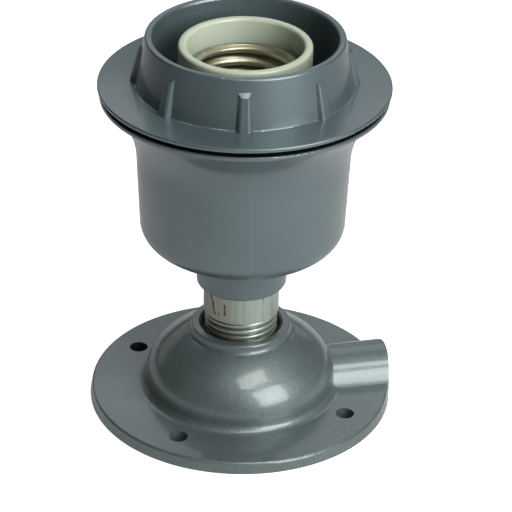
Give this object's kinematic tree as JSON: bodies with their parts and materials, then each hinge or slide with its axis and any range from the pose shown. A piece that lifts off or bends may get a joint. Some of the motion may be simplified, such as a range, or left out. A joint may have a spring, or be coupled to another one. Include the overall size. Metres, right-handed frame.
{
  "type": "lamp holder",
  "caption": "Screw lamp holder on a round cast base with a half-round side cable spout, a threaded nipple, a flared cup and a ribbed shade ring with gasket.",
  "frame": {"origin": "centre of the base plate's underside, on the holder's axis", "axes": "+Z along the axis from the base towards the lamp, +X along the cable spout"},
  "size_m": [0.0818, 0.0818, 0.1071],
  "materials": {
    "base_paint": "glossy metallic grey paint with orange peel",
    "galvanised_steel": "dull zinc with brown staining",
    "grey_plastic": "satin moulded grey",
    "black_rubber": "matt",
    "glazed_ceramic": "glazed, off-white",
    "plated_brass": "nickel plated, slightly tarnished",
    "bare_brass": "machined",
    "zinc_steel": "zinc plated"
  },
  "bodies": {
    "holder": {"cast_base": "base_paint", "earth_screw": "zinc_steel", "earth_washer": "zinc_steel", "conduit_nipple": "galvanised_steel", "holder_cup": "grey_plastic", "ceramic_insert": "glazed_ceramic", "screw_shell": "plated_brass", "shell_screws": "zinc_steel", "shell_nut": "zinc_steel", "shell_terminal": "bare_brass", "contact_terminal": "bare_brass", "terminal_screws": "zinc_steel", "insert_screws": "zinc_steel", "insert_washers": "zinc_steel", "contact_tongue": "plated_brass", "contact_screw": "zinc_steel"},
    "gasket": {"ring_gasket": "black_rubber"},
    "ring": {"shade_ring": "grey_plastic"},
    "contact": {"contact_button": "bare_brass"}
  },
  "joints": [
    {"name": "ring_lift", "type": "slide", "parent": "holder", "child": "gasket", "axis": [0, 0, 1], "range_m": [0, 0.00601]},
    {"name": "ring_turn", "type": "hinge", "parent": "gasket", "child": "ring", "pos_m": [0, 0, 0.09285], "axis": [0, 0, 1], "range_deg": [0, 720]},
    {"name": "contact_press", "type": "slide", "parent": "holder", "child": "contact", "axis": [0, 0, -1], "range_m": [0, 0.0012], "stiffness_N_per_m": 800, "deforming": ["contact_tongue"]}
  ],
  "couplings": [
    {"joint": "ring_lift", "follows": "ring_turn", "m_per_rad": 0.00047746}
  ]
}
